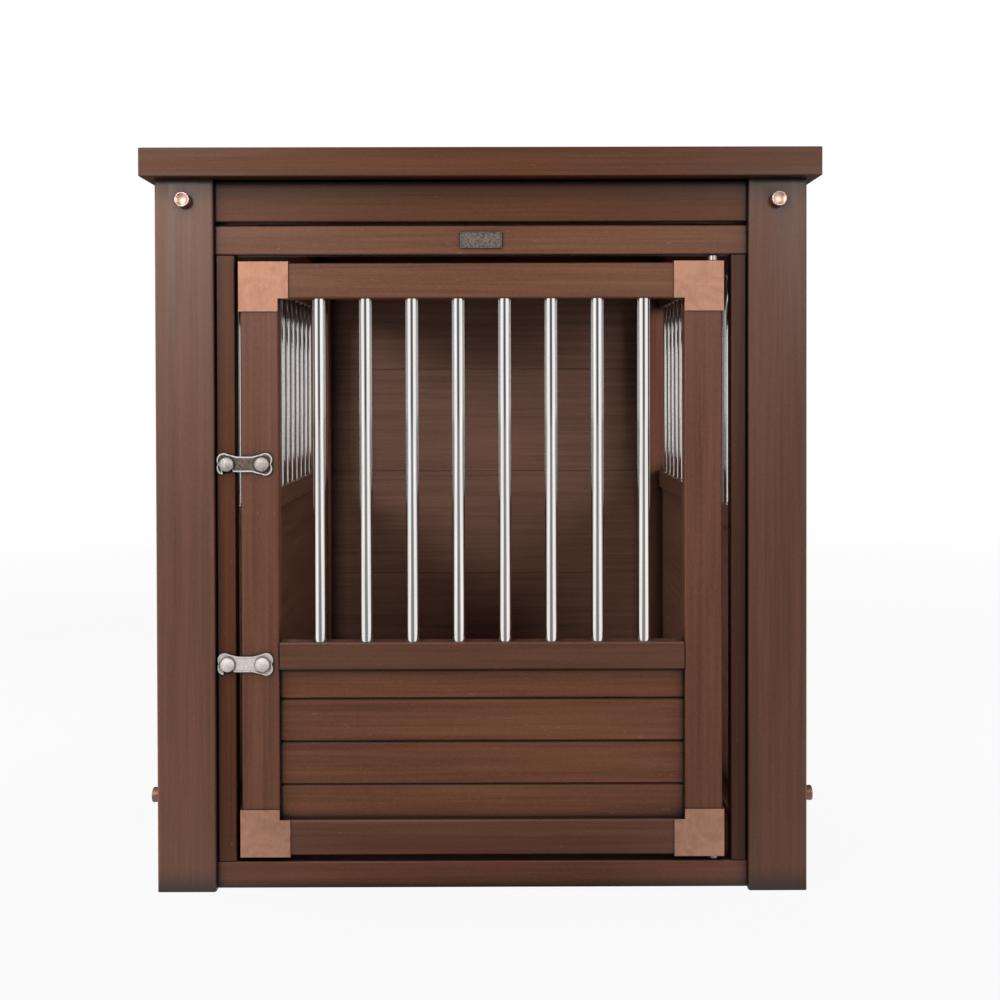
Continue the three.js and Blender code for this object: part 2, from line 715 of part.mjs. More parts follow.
// Outline of the bone-shaped latch plate, drawn from its pivot, with a curved slot that drops over the
// catch. The slot follows a circle about the pivot, so that the plate lifts off the catch without binding.
function latchOutline() {
  const slotHalf = catchShank / 2 + slotClearance;
  const innerRadius = knobSpacing - slotHalf;
  const outerRadius = knobSpacing + slotHalf;
  const catchSide = -knobSpacing - knuckleReach;
  const turn = Math.PI;
  const notch = THREE.MathUtils.degToRad(notchAngle);
  const shoulder = THREE.MathUtils.degToRad(shoulderAngle);
  const slotMouth = turn + Math.asin(waistHalf / innerRadius);
  const hookTip = turn + Math.asin((hookDrop + knuckleRadius - hookEase) / outerRadius);
  const hookEnd = turn + THREE.MathUtils.degToRad(hookAngle);
  const shape = new THREE.Shape();
  shape.moveTo(innerRadius * Math.cos(slotMouth), innerRadius * Math.sin(slotMouth));
  shape.lineTo(-waistRun, -waistHalf);
  shape.absarc(knuckleReach, -knuckleRise, knuckleRadius, -shoulder, notch, false);
  shape.absarc(knuckleReach, knuckleRise, knuckleRadius, -notch, shoulder, false);
  shape.lineTo(-waistRun, waistHalf);
  shape.lineTo(-knobSpacing + waistRun, waistHalf);
  shape.absarc(catchSide, knuckleRise, knuckleRadius, turn - shoulder, turn + notch, false);
  shape.absarc(catchSide, -hookDrop, knuckleRadius, turn - notch, hookEnd, false);
  shape.absarc(0, 0, outerRadius, hookTip, turn, true);
  shape.absarc(-knobSpacing, 0, slotHalf, turn, 0, true);
  shape.absarc(0, 0, innerRadius, turn, slotMouth, false);
  return shape;
}

// A latch plate with its knob and stud, made as one, that turns in the door's latch stile
function latch(name, z) {
  const front = -seat - latchThickness;
  const plate = extrudeCentred(latchOutline(), latchThickness, latchCurveSteps);
  plate.rotateX(Math.PI / 2);
  plate.translate(0, front + latchThickness / 2, 0);
  const profile = [
    ...domedHead(front - seat),
    [latchKnobDiameter / 2 - latchNeckInset, front - seat],
    [latchKnobDiameter / 2 - latchNeckInset, front + seat],
    [studDiameter / 2, front + seat],
    [studDiameter / 2, studLength],
    [0, studLength],
  ];
  const body = toSolid(plate).add(toSolid(turned(profile, knobSides)));
  return piece(name, body, nickel, [latchX, frameFront, z]);
}

const crate = new THREE.Group();
crate.add(
  tableTop(),
  posts(),
  frontFrame(),
  sideWall("left", -Math.PI / 2, -postMiddle),
  sideWall("right", Math.PI / 2, postMiddle),
  rearWall(),
  floorPanel(),
  catchKnob("upper_catch_knob", upperLatchHeight),
  catchKnob("lower_catch_knob", lowerLatchHeight),
  knobBolts(),
);

const dogCrateTable = new THREE.Group();
dogCrateTable.add(
  crate,
  door(),
  latch("upper_latch_plate", upperLatchHeight),
  latch("lower_latch_plate", lowerLatchHeight),
);

export default dogCrateTable;
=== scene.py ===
# Looks for the dog crate end table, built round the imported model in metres.
# The front faces -Y, +Z is up, and the floor is at 0.
import json
import math
import random

import bmesh
import bpy
from mathutils import Matrix, Vector


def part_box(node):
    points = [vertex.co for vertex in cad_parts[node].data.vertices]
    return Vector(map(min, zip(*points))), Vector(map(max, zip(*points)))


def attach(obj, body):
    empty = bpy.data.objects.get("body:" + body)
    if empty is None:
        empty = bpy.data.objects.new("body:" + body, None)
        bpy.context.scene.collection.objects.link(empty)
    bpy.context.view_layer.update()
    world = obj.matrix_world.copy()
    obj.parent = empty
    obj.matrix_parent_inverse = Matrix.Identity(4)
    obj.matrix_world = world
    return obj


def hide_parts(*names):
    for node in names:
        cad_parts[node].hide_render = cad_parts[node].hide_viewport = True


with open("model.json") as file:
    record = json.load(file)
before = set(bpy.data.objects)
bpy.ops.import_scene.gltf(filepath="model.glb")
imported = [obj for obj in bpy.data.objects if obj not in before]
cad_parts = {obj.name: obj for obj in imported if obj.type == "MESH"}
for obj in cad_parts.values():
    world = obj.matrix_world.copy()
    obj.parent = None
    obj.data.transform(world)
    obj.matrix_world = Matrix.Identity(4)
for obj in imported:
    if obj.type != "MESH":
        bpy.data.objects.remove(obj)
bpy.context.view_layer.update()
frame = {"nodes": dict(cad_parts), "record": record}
mm = 0.001
bodyOf = {node: body for body, nodes in frame["record"]["behaviour"]["bodies"].items() for node in nodes}

view = {
    "place": (0.01928, -1.96438, 0.58517),
    "tiltDown": 0.587,  # degrees
    "turnRight": 0.143,
    "roll": -0.138,
    "lens": 44.76,
    "shift": (-0.00106, -0.09885),
    "sensor": 36,
    "reach": 100,  # metres
}
studio = {
    "ambient": 0.05,
    "paper": (1, 1, 1),
    "floorSize": 40,
    "floorPaint": ((0.3, (0.27, 0.27, 0.275)), (0.7, (0.30, 0.30, 0.30))),  # soft clouds between two greys
    "floorCloud": 1.5,  # clouds per metre
    "floorRoughness": 0.9,
    "floorGlow": 0.93,  # share of the floor that is plain paper white, the rest is lit and keeps the shadow
    # what polished metal sees of the room and of its floor: degrees away from the front, and brightness
    "room": ((0, 0.10), (15, 0.12), (29, 1.0), (68, 1.0), (84, 0.42), (180, 0.36)),
    "roomFloor": ((0, 0.22), (15, 0.24), (29, 1.0), (64, 1.0), (80, 0.16), (180, 0.16)),
    "edge": (1.5, 3.5),  # metres from the object within which the lit floor gives way to plain white
    "lamps": {
        "frontLeft": {"place": (-0.9, -2.05, 1.22), "size": (0.35, 0.35), "power": 14,
                      "colour": (1, 0.95, 0.89), "aim": (-0.2, -0.5, 0.72)},
        "frontRight": {"place": (0.85, -2.05, 1.2), "size": (0.35, 0.35), "power": 9,
                       "colour": (1, 0.94, 0.86), "aim": (0.2, -0.5, 0.72)},
        "overLeft": {"place": (-0.75, -1.25, 1.65), "size": (0.5, 0.5), "power": 4,
                     "colour": (1, 0.95, 0.89), "aim": (-0.1, -0.5, 0.6)},
        "sideHighLeft": {"place": (-1.7, -0.3, 1.3), "size": (0.8, 0.6), "power": 40,
                         "colour": (1, 0.97, 0.95), "aim": (0, 0.45, 0.45), "unseen": True},
        "sideHighRight": {"place": (1.7, -0.3, 1.3), "size": (0.8, 0.6), "power": 22,
                          "colour": (1, 0.97, 0.95), "aim": (0, 0.45, 0.45), "unseen": True},
        "sideLeft": {"place": (-1.8, -0.2, 0.75), "size": (0.9, 0.7), "power": 5,
                     "colour": (1, 0.97, 0.95), "aim": (0, 0.45, 0.5), "unseen": True},
        "sideRight": {"place": (1.8, -0.2, 0.75), "size": (0.9, 0.7), "power": 18,
                      "colour": (1, 0.97, 0.95), "aim": (0, 0.45, 0.5), "unseen": True},
        "rear": {"place": (0.5, 2.4, 1.5), "size": (1.2, 1.2), "power": 45,
                 "colour": (1, 1, 1), "aim": (0, 0.5, 0.45), "unseen": True},
    },
}


def aimAt(obj, target):
    direction = Vector(target) - obj.location
    obj.rotation_euler = direction.to_track_quat("-Z", "Y").to_euler()


def makeCamera():
    bpy.ops.object.camera_add(location=view["place"])
    camera = bpy.context.active_object
    camera.name = "frontCamera"
    tilt = Matrix.Rotation(math.radians(90 - view["tiltDown"]), 4, "X")
    turn = Matrix.Rotation(math.radians(-view["turnRight"]), 4, "Z")
    roll = Matrix.Rotation(math.radians(view["roll"]), 4, "Z")
    camera.rotation_euler = (turn @ tilt @ roll).to_euler()
    camera.data.lens = view["lens"]
    camera.data.sensor_width = view["sensor"]
    camera.data.shift_x, camera.data.shift_y = view["shift"]
    camera.data.clip_end = view["reach"]
    camera.data.dof.use_dof = False
    bpy.context.scene.camera = camera


def makeLamps():
    for name, lamp in studio["lamps"].items():
        bpy.ops.object.light_add(type="AREA", location=lamp["place"])
        light = bpy.context.active_object
        light.name = name
        light.data.shape = "RECTANGLE"
        light.data.size, light.data.size_y = lamp["size"]
        light.data.energy = lamp["power"]
        light.data.color = lamp["colour"]
        # the lamps beside and behind the object stand for daylight, and polished metal doesn't mirror them
        light.visible_glossy = not lamp.get("unseen", False)
        aimAt(light, lamp["aim"])


def addNode(tree, kind, inputs=None, **settings):
    node = tree.nodes.new(kind)
    for key, value in settings.items():
        setattr(node, key, value)
    for key, value in (inputs or {}).items():
        if isinstance(value, bpy.types.NodeSocket):
            tree.links.new(value, node.inputs[key])
        else:
            node.inputs[key].default_value = value
    return node


def ramp(tree, source, stops):
    node = addNode(tree, "ShaderNodeValToRGB", {"Fac": source})
    elements = node.color_ramp.elements
    while len(elements) < len(stops):
        elements.new(0.5)
    for element, (place, colour) in zip(elements, stops):
        element.position = place
        element.color = (*colour, 1)
    return node.outputs["Color"]


def grey(value):
    return (value, value, value)


def mixColour(tree, share, first, second, blend="MIX"):
    node = addNode(tree, "ShaderNodeMix", data_type="RGBA", blend_type=blend)
    for socket, value in ((node.inputs[0], share), (node.inputs[6], first), (node.inputs[7], second)):
        if isinstance(value, bpy.types.NodeSocket):
            tree.links.new(value, socket)
        else:
            socket.default_value = value if not isinstance(value, tuple) else (*value, 1)
    return node.outputs[2]


def sums(tree, operation, first, second):
    return addNode(tree, "ShaderNodeMath", {0: first, 1: second}, operation=operation).outputs[0]


# Patterns added up, each by its share
def mixPatterns(tree, parts):
    total = None
    for pattern, share in parts:
        part = sums(tree, "MULTIPLY", pattern, share)
        total = part if total is None else sums(tree, "ADD", total, part)
    return total


# Runs between two limits as the source runs from 0 to 1
def between(tree, source, limits):
    low, high = limits
    return sums(tree, "ADD", sums(tree, "MULTIPLY", source, high - low), low)


def addRelief(tree, shader, height, strength, depth):
    bump = addNode(tree, "ShaderNodeBump", {"Height": height, "Strength": strength, "Distance": depth})
    tree.links.new(bump.outputs[0], shader.inputs["Normal"])


# Noise on object coordinates, stretched by three scales in cycles per metre
def grain(tree, scales, offset=(0, 0, 0), detail=3, roughness=0.55, distortion=0.0):
    place = addNode(tree, "ShaderNodeTexCoord").outputs["Object"]
    mapping = addNode(tree, "ShaderNodeMapping", {"Vector": place, "Location": offset, "Scale": scales})
    settings = {"Vector": mapping.outputs[0], "Scale": 1.0, "Detail": detail, "Roughness": roughness,
                "Distortion": distortion}
    return addNode(tree, "ShaderNodeTexNoise", settings).outputs["Fac"]


def newFinish(name):
    material = bpy.data.materials.new(name)
    material.use_nodes = True
    tree = material.node_tree
    return material, tree, tree.nodes["Principled BSDF"]


# Brightness by the angle between the front of the object and a place or a direction
def roomBrightness(tree, place, stops):
    parts = addNode(tree, "ShaderNodeSeparateXYZ", {0: place})
    front = sums(tree, "MULTIPLY", parts.outputs["Y"], -1.0)
    turn = sums(tree, "ABSOLUTE", sums(tree, "ARCTAN2", parts.outputs["X"], front), 0.0)
    halfTurns = sums(tree, "DIVIDE", turn, math.pi)
    return ramp(tree, halfTurns, [(angle / 180, grey(share)) for angle, share in stops])


def makeFloor():
    bpy.ops.mesh.primitive_plane_add(size=studio["floorSize"], location=(0, 0, 0))
    floor = bpy.context.active_object
    floor.name = "studioFloor"
    material, tree, shader = newFinish("studioFloorFinish")
    shader.inputs["Roughness"].default_value = studio["floorRoughness"]
    shader.inputs["Specular IOR Level"].default_value = 0.0
    paint = ramp(tree, grain(tree, (studio["floorCloud"],) * 3), studio["floorPaint"])
    tree.links.new(paint, shader.inputs["Base Color"])
    path = addNode(tree, "ShaderNodeLightPath")
    seen = sums(tree, "MAXIMUM", path.outputs["Is Camera Ray"], path.outputs["Is Transmission Ray"])
    place = addNode(tree, "ShaderNodeTexCoord").outputs["Object"]
    away = addNode(tree, "ShaderNodeVectorMath", {0: place}, operation="LENGTH").outputs["Value"]
    near, far = studio["edge"]
    white = addNode(tree, "ShaderNodeMapRange", {"Value": away, "From Min": near, "From Max": far,
                                                 "To Min": studio["floorGlow"], "To Max": 1.0})
    colour = mixColour(tree, path.outputs["Is Glossy Ray"], studio["paper"],
                       roomBrightness(tree, place, studio["roomFloor"]))
    glow = addNode(tree, "ShaderNodeEmission", {"Color": colour, "Strength": 1.0})
    seen = sums(tree, "MAXIMUM", seen, path.outputs["Is Glossy Ray"])
    share = sums(tree, "MULTIPLY", seen, white.outputs[0])
    mix = addNode(tree, "ShaderNodeMixShader", {0: share, 1: shader.outputs[0], 2: glow.outputs[0]})
    tree.links.new(mix.outputs[0], tree.nodes["Material Output"].inputs["Surface"])
    floor.data.materials.append(material)


# White for what the camera sees, the room for what polished metal sees, and an even ambient light
def makeWorld():
    world = bpy.data.worlds.new("studioWorld")
    bpy.context.scene.world = world
    world.use_nodes = True
    tree = world.node_tree
    tree.nodes.clear()
    path = addNode(tree, "ShaderNodeLightPath")
    direction = addNode(tree, "ShaderNodeTexCoord").outputs["Generated"]
    room = roomBrightness(tree, direction, studio["room"])
    strength = mixColour(tree, path.outputs["Is Glossy Ray"], grey(studio["ambient"]), room)
    seen = sums(tree, "MAXIMUM", path.outputs["Is Camera Ray"], path.outputs["Is Transmission Ray"])
    strength = mixColour(tree, seen, strength, grey(1.0))
    background = addNode(tree, "ShaderNodeBackground",
                         {"Color": (*studio["paper"], 1), "Strength": strength})
    output = addNode(tree, "ShaderNodeOutputWorld")
    tree.links.new(background.outputs[0], output.inputs["Surface"])


bpy.context.scene.view_settings.view_transform = "Standard"
makeCamera()
makeLamps()
makeFloor()
makeWorld()
print("studio ready")

# Copies of one wood in lighter and darker tones, each set to how bright its parts look under the lamps:
# painted light and shade beside frameBoard's plain tone
boardTones = {
    "frameBoard": {"dark": (0.094, 0.033, 0.017), "light": (0.172, 0.067, 0.038),
                   "fleck": (0.27, 0.14, 0.09), "shine": 0.5},
    "litPostBoard": {"dark": (0.102, 0.036, 0.019), "light": (0.188, 0.074, 0.043),
                  "fleck": (0.29, 0.15, 0.10), "shine": 0.6},
    "shadedPostBoard": {"dark": (0.084, 0.029, 0.014), "light": (0.158, 0.060, 0.034),
                  "fleck": (0.25, 0.13, 0.08), "shine": 0.5},
    "doorBoard": {"dark": (0.114, 0.041, 0.022), "light": (0.216, 0.086, 0.051),
                  "fleck": (0.33, 0.18, 0.12), "shine": 0.4},
    "headerBoard": {"dark": (0.114, 0.040, 0.019), "light": (0.236, 0.094, 0.051),
                    "fleck": (0.38, 0.20, 0.11), "shine": 0.35},
    "edgeBoard": {"dark": (0.080, 0.024, 0.008), "light": (0.152, 0.051, 0.020),
                  "fleck": (0.25, 0.11, 0.05), "shine": 0.28},
    "jambBoard": {"dark": (0.052, 0.015, 0.005), "light": (0.100, 0.033, 0.015),
                  "fleck": (0.16, 0.07, 0.04), "shine": 0.3},
    "sideBoard": {"dark": (0.076, 0.034, 0.022), "light": (0.140, 0.068, 0.046),
                  "fleck": (0.19, 0.11, 0.08), "shine": 0.35},
    "litWallBoard": {"dark": (0.152, 0.079, 0.056), "light": (0.270, 0.146, 0.106),
                  "fleck": (0.34, 0.22, 0.17), "shine": 0.4},
    "sillBoard": {"dark": (0.104, 0.036, 0.018), "light": (0.194, 0.074, 0.041),
                  "fleck": (0.30, 0.16, 0.10), "shine": 0.4, "shadeReach": 0.014},
}
# patterns are in cycles per metre, across the board and along it
boardLook = {
    "streak": (230, 5),
    "band": (75, 1.75),
    "cloud": (9, 3),
    "speckle": (520, 260),
    "fleck": (420, 90),
    "shares": {"streak": 0.36, "band": 0.26, "cloud": 0.18, "speckle": 0.20},
    "toneSpread": (0.38, 0.62),  # from all dark to all light
    "fleckSpread": (0.70, 0.80),
    "fleckShare": 0.6,
    "roughness": (0.42, 0.54),
    "roughSpread": (0.3, 0.7),
    "relief": (0.5, 0.00022),  # strength, and depth in metres
    "shadeReach": 0.03,  # how far from an inner corner it darkens
    # openness and share of the colour for the painted corner shade
    "soil": ((0.5, 0.05), (0.62, 0.2), (0.75, 0.45), (0.88, 0.8), (0.98, 1.0)),
}


# Painted shade: darkens a colour in inner corners and gaps, by how open the surface is within some reach
def withPaintedShade(tree, colour, reach, stops):
    openness = addNode(tree, "ShaderNodeAmbientOcclusion", {"Distance": reach}, samples=6)
    soil = ramp(tree, openness.outputs["AO"], [(place, grey(share)) for place, share in stops])
    return mixColour(tree, 1.0, colour, soil, "MULTIPLY")


# Wood composite: streaks and soft bands along the board, fine speckle, small pale flecks, painted shade in
# inner corners and gaps, slight relief
def boardFinish(name, tone, along, offset):
    material, tree, shader = newFinish(name)
    look = boardLook
    axis = "xyz".index(along)

    def pattern(kind, detail, roughness):
        across, run = look[kind]
        scales = tuple(run if i == axis else across for i in range(3))
        return grain(tree, scales, offset, detail, roughness)

    patterns = {
        "streak": pattern("streak", detail=4, roughness=0.62),
        "band": pattern("band", detail=3, roughness=0.5),
        "cloud": pattern("cloud", detail=3, roughness=0.5),
        "speckle": pattern("speckle", detail=2, roughness=0.6),
    }
    fleck = pattern("fleck", detail=2, roughness=0.5)
    mixed = mixPatterns(tree, [(patterns[kind], share) for kind, share in look["shares"].items()])
    darkEnd, lightEnd = look["toneSpread"]
    colour = ramp(tree, mixed, [(darkEnd, tone["dark"]), (lightEnd, tone["light"])])
    fleckStart, fleckEnd = look["fleckSpread"]
    flecks = ramp(tree, fleck, [(fleckStart, grey(0)), (fleckEnd, grey(look["fleckShare"]))])
    colour = mixColour(tree, flecks, colour, tone["fleck"])
    # painted shade in inner corners and gaps
    colour = withPaintedShade(tree, colour, tone.get("shadeReach", look["shadeReach"]), look["soil"])
    tree.links.new(colour, shader.inputs["Base Color"])
    roughStops = zip(look["roughSpread"], look["roughness"])
    rough = ramp(tree, patterns["band"], [(place, grey(value)) for place, value in roughStops])
    tree.links.new(rough, shader.inputs["Roughness"])
    addRelief(tree, shader, patterns["streak"], *look["relief"])
    shader.inputs["Specular IOR Level"].default_value = tone["shine"]
    return material


barLook = {"dark": (0.80, 0.775, 0.755), "light": (0.96, 0.94, 0.925), "roughness": (0.04, 0.10)}
# dark steel for the pivot pins: painted shade, matched to the lower pin in the dark gap under the door
pinShadeLook = {"dark": (0.24, 0.215, 0.20), "light": (0.40, 0.37, 0.345), "roughness": (0.30, 0.46)}
steelLook = {
    "lines": (1100, 1100, 9),  # per metre
    "linePlace": (3.1, 1.7, 0.4),
    "lineSpread": (0.35, 0.62),
    "specks": (620, 620, 420),
    "speckPlace": (0.5, 2.2, 1.9),
    "speckStops": ((0.62, (0, 0, 0)), (0.76, (0.5, 0.5, 0.5))),
    "speckColour": (0.50, 0.475, 0.455),
    "speckRoughness": 0.14,  # added to the steel's own
    "relief": (0.1, 0.00003),
}


# Steel with fine draw lines along it and small dull specks
def steelFinish(name, look):
    material, tree, shader = newFinish(name)
    lines = grain(tree, steelLook["lines"], steelLook["linePlace"], detail=3, roughness=0.6)
    specks = grain(tree, steelLook["specks"], steelLook["speckPlace"], detail=3, roughness=0.6)
    dull = ramp(tree, specks, steelLook["speckStops"])
    darkEnd, lightEnd = steelLook["lineSpread"]
    colour = ramp(tree, lines, [(darkEnd, look["dark"]), (lightEnd, look["light"])])
    tree.links.new(mixColour(tree, dull, colour, steelLook["speckColour"]), shader.inputs["Base Color"])
    speckPart = sums(tree, "MULTIPLY", dull, steelLook["speckRoughness"])
    rough = sums(tree, "ADD", between(tree, lines, look["roughness"]), speckPart)
    tree.links.new(rough, shader.inputs["Roughness"])
    addRelief(tree, shader, lines, *steelLook["relief"])
    shader.inputs["Metallic"].default_value = 1.0
    return material


# Copies of one nickel: bright is a pale colour on mostly plain metal that paints polished nickel's glare, a
# painted reflection; knob is a darker copy for the upper knobs and dark a near-black copy for the upper
# latch's field, both painted darker reflection
nickelTones = {
    "bright": {"dark": (0.72, 0.68, 0.66), "light": (0.93, 0.885, 0.87),
               "roughness": (0.50, 0.66), "metal": 0.3},
    "knob": {"dark": (0.40, 0.375, 0.355), "light": (0.66, 0.63, 0.605),
             "roughness": (0.50, 0.66), "metal": 0.55},
    "dark": {"dark": (0.070, 0.055, 0.048), "light": (0.22, 0.185, 0.165),
             "roughness": (0.42, 0.60), "metal": 0.8},
}
nickelLook = {
    "mottle": 420,  # per metre
    "mottlePlace": (1.3, 0.2, 2.4),
    "mottleSpread": (0.36, 0.64),
    "pits": 1500,
    "pitPlace": (0.7, 3.1, 0.9),
    "relief": (0.35, 0.00012),
    # painted shade where pieces touch: its reach, and its openness and share of the colour
    "shadeReach": 0.004,
    "soil": ((0.45, 0.08), (0.65, 0.35), (0.85, 0.85), (0.95, 1.0)),  # openness and share of the colour
}


# Tumbled nickel, mottled and slightly pitted, with painted shade where pieces touch
def nickelFinish(name, tone):
    material, tree, shader = newFinish(name)
    mottle = grain(tree, (nickelLook["mottle"],) * 3, nickelLook["mottlePlace"],
                   detail=4, roughness=0.65, distortion=0.6)
    pits = grain(tree, (nickelLook["pits"],) * 3, nickelLook["pitPlace"], detail=2, roughness=0.5)
    darkEnd, lightEnd = nickelLook["mottleSpread"]
    colour = ramp(tree, mottle, [(darkEnd, tone["dark"]), (lightEnd, tone["light"])])
    # painted shade where pieces touch
    colour = withPaintedShade(tree, colour, nickelLook["shadeReach"], nickelLook["soil"])
    tree.links.new(colour, shader.inputs["Base Color"])
    tree.links.new(between(tree, mottle, tone["roughness"]), shader.inputs["Roughness"])
    addRelief(tree, shader, mixPatterns(tree, [(mottle, 0.5), (pits, 0.5)]), *nickelLook["relief"])
    shader.inputs["Metallic"].default_value = tone["metal"]
    return material


bracketTone = {"dark": (0.40, 0.215, 0.150), "light": (0.50, 0.280, 0.200), "roughness": (0.58, 0.70)}
boltTone = {"dark": (0.50, 0.315, 0.245), "light": (0.72, 0.50, 0.42), "roughness": (0.36, 0.50)}
# a darker copy of the bolt copper for the low bolts on the posts' sides: painted shade
shadedLowBoltTone = {"dark": (0.20, 0.110, 0.080), "light": (0.32, 0.185, 0.140), "roughness": (0.44, 0.58)}
copperLook = {
    "swirl": 26,  # per metre
    "swirlPlace": (2.2, 0.6, 1.1),
    "swirlTwist": 3.0,
    "brush": (900, 900, 140),
    "brushPlace": (0.2, 1.4, 2.8),
    "shares": (0.75, 0.25),
    "spread": (0.38, 0.60),
    "relief": (0.2, 0.00008),
}


# Satin copper with faint swirls from polishing
def copperFinish(name, tone):
    material, tree, shader = newFinish(name)
    swirl = grain(tree, (copperLook["swirl"],) * 3, copperLook["swirlPlace"],
                  detail=4, roughness=0.55, distortion=copperLook["swirlTwist"])
    brush = grain(tree, copperLook["brush"], copperLook["brushPlace"], detail=2, roughness=0.5)
    mixed = mixPatterns(tree, zip((swirl, brush), copperLook["shares"]))
    darkEnd, lightEnd = copperLook["spread"]
    colour = ramp(tree, mixed, [(darkEnd, tone["dark"]), (lightEnd, tone["light"])])
    tree.links.new(colour, shader.inputs["Base Color"])
    tree.links.new(between(tree, swirl, tone["roughness"]), shader.inputs["Roughness"])
    addRelief(tree, shader, brush, *copperLook["relief"])
    shader.inputs["Metallic"].default_value = 1.0
    return material


randomPlaces = random.Random(7)
boards = {}
for toneName, tone in boardTones.items():
    for along in "xyz":
        for variant in range(3):
            offset = tuple(randomPlaces.uniform(2, 9) for axis in range(3))
            finishName = f"{toneName}Along{along.upper()}{variant}"
            boards[toneName, along, variant] = boardFinish(finishName, tone, along, offset)
barSteel = steelFinish("polishedTube", barLook)
pinShadeSteel = steelFinish("darkShadedPin", pinShadeLook)
nickel = {name: nickelFinish(f"{name}Nickel", tone) for name, tone in nickelTones.items()}
copper = copperFinish("satinCopper", bracketTone)
boltCopper = copperFinish("boltCopper", boltTone)
lowBoltCopper = copperFinish("lowBoltCopper", shadedLowBoltTone)
print("finishes ready")


def deselectAll():
    for obj in list(bpy.context.selected_objects):
        obj.select_set(False)


def named(name):
    obj = bpy.context.active_object
    obj.name = name
    obj.data.name = name
    return obj


# A block between two corners, its place in its mesh
def addBlock(name, low, high):
    deselectAll()
    middle = [(a + b) / 2 for a, b in zip(low, high)]
    size = [b - a for a, b in zip(low, high)]
    bpy.ops.mesh.primitive_cube_add(size=1, location=middle, scale=size)
    bpy.ops.object.transform_apply(location=True, rotation=True, scale=True)
    return named(name)


# Opens edit mode on one piece with only what passes the test selected
def pick(obj, kind, test):
    if bpy.context.mode != "EDIT_MESH":
        deselectAll()
        bpy.context.view_layer.objects.active = obj
        obj.select_set(True)
        bpy.ops.object.mode_set(mode="EDIT")
    bpy.ops.mesh.select_mode(type=kind)
    bpy.ops.mesh.select_all(action="DESELECT")
    mesh = bmesh.from_edit_mesh(obj.data)
    mesh.normal_update()
    parts = {"VERT": mesh.verts, "EDGE": mesh.edges, "FACE": mesh.faces}[kind]
    found = [part for part in parts if test(part)]
    for part in found:
        part.select_set(True)
    mesh.select_flush_mode()
    bmesh.update_edit_mesh(obj.data)
    return len(found)


def leaveEdit():
    bpy.ops.object.mode_set(mode="OBJECT")


tolerance = {"place": 0.02 * mm, "straight": 0.999, "facing": 0.9, "sharp": 1.2}  # the last in radians


def near(a, b):
    return abs(a - b) < tolerance["place"]


def runsAlong(edge, axis):
    span = edge.verts[1].co - edge.verts[0].co
    return abs(span[axis]) > tolerance["straight"] * span.length


def liesOn(part, axis, level):
    return all(near(vert.co[axis], level) for vert in part.verts)


def isSharp(edge):
    return len(edge.link_faces) == 2 and edge.calc_face_angle(0) > tolerance["sharp"]


def pickEnds(obj):
    pick(obj, "FACE", lambda face: abs(face.normal.z) > tolerance["facing"])


def bevelPicked(width, segments=2):
    bpy.ops.mesh.bevel(offset=width, offset_type="OFFSET", segments=segments, profile=0.5, affect="EDGES")


def alongAxis(axis, distance):
    value = [0, 0, 0]
    value[axis] = distance
    return value


def moveBy(axis, distance):
    bpy.ops.transform.translate(value=alongAxis(axis, distance))


def extrudeBy(axis, distance):
    bpy.ops.mesh.extrude_region_move(TRANSFORM_OT_translate={"value": alongAxis(axis, distance)})


# Cuts the whole piece across an axis without taking anything away
def cutAt(axis, level):
    bpy.ops.mesh.select_all(action="SELECT")
    bpy.ops.mesh.bisect(plane_co=alongAxis(axis, level), plane_no=alongAxis(axis, 1), use_fill=False)


smooth = {"boards": 25, "members": 32, "turned": 40}  # degrees up to which an edge is shaded smooth


# Shading, place, finish and what the piece stands for
def finishPiece(obj, node, material, angle=smooth["members"]):
    if bpy.context.mode == "EDIT_MESH":
        leaveEdit()
    deselectAll()
    bpy.context.view_layer.objects.active = obj
    obj.select_set(True)
    bpy.ops.object.shade_smooth_by_angle(angle=math.radians(angle))
    bpy.ops.object.modifier_add(type="WEIGHTED_NORMAL")
    obj.modifiers[-1].keep_sharp = True
    bpy.ops.object.modifier_apply(modifier=obj.modifiers[-1].name)
    obj.data.materials.clear()
    obj.data.materials.append(material)
    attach(obj, bodyOf[node])
    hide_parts(node)


def pieceName(node):
    first, *rest = node.split("_")
    return first + "".join(word.capitalize() for word in rest)


# nodes whose names start so have this tone, and all other boards are frameBoard; the other tones paint
# light and shade part by part, lighter on the left and rear right posts, the sill, the door's stiles, top
# rail and panel, the header and the rear wall, darker on the right post, the hinge jamb and the side
# boards, and edgeBoard, the table top's darker tone, also paints shade on the apron under the top and on
# the latch jamb beside the post
toneOf = {
    "litPostBoard": ("front_left_post", "rear_right_post"),
    "shadedPostBoard": ("front_right_post",),
    "edgeBoard": ("tabletop", "front_apron", "latch_jamb"),
    "headerBoard": ("front_header", "door_top", "door_slatted"),
    "doorBoard": ("door_latch", "door_hinge"),
    "sillBoard": ("front_sill",),
    "litWallBoard": ("rear_board",),
    "jambBoard": ("hinge_jamb",),
    "sideBoard": ("left_lower", "left_middle", "right_lower", "right_middle"),
}


def boardFor(node, along, variant):
    tone = next((tone for tone, starts in toneOf.items() if node.startswith(starts)), "frameBoard")
    return boards[tone, along, variant % 3]


post = {"wall": 7 * mm, "corner": 3 * mm, "segments": 4}


